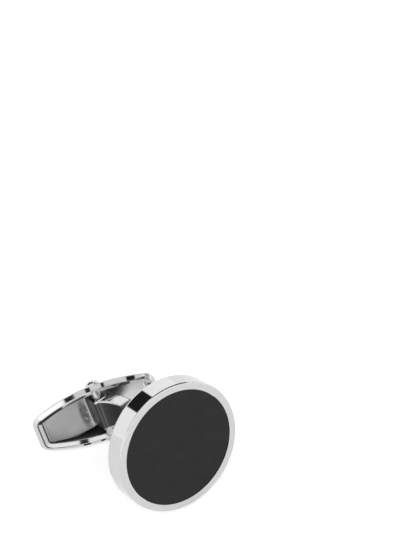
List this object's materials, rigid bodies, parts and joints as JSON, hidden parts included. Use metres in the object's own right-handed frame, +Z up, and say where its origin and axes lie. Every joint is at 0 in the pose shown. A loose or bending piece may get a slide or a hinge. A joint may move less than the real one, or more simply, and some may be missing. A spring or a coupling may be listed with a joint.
{
  "type": "cufflink",
  "caption": "Round cufflink with a dark inlay in a polished cup, a cranked post and a boat-shaped swivel toggle held by a leaf spring.",
  "frame": {"origin": "centre of the bounding box at its bottom: the cup's back edge and the lower pin head rest on Z = 0", "axes": "+Z up; the face looks towards -Y and leans back by 17.2 degrees; the toggle lies towards +Y; +X towards the toggle's free end"},
  "size_m": [0.0192, 0.0226, 0.0179],
  "materials": {
    "face_cup": "mirror polished rhodium-coloured plating",
    "enamel_inlay": "flat near-black enamel, soft sheen",
    "post": "polished casting",
    "toggle_shell": "polished",
    "hinge_pin": "polished, riveted",
    "leaf_spring": "satin"
  },
  "bodies": {
    "face": {"face_cup": "face_cup", "enamel_inlay": "enamel_inlay", "post": "post"},
    "toggle": {"toggle_shell": "toggle_shell", "hinge_pin": "hinge_pin", "leaf_spring": "leaf_spring"}
  },
  "joints": [
    {"name": "toggle_swivel", "type": "hinge", "parent": "face", "child": "toggle", "pos_m": [-0.00105, 0.00627, 0.00475], "axis": [0, 0.2952, 0.9554], "range_deg": [-30, 113.5]}
  ]
}
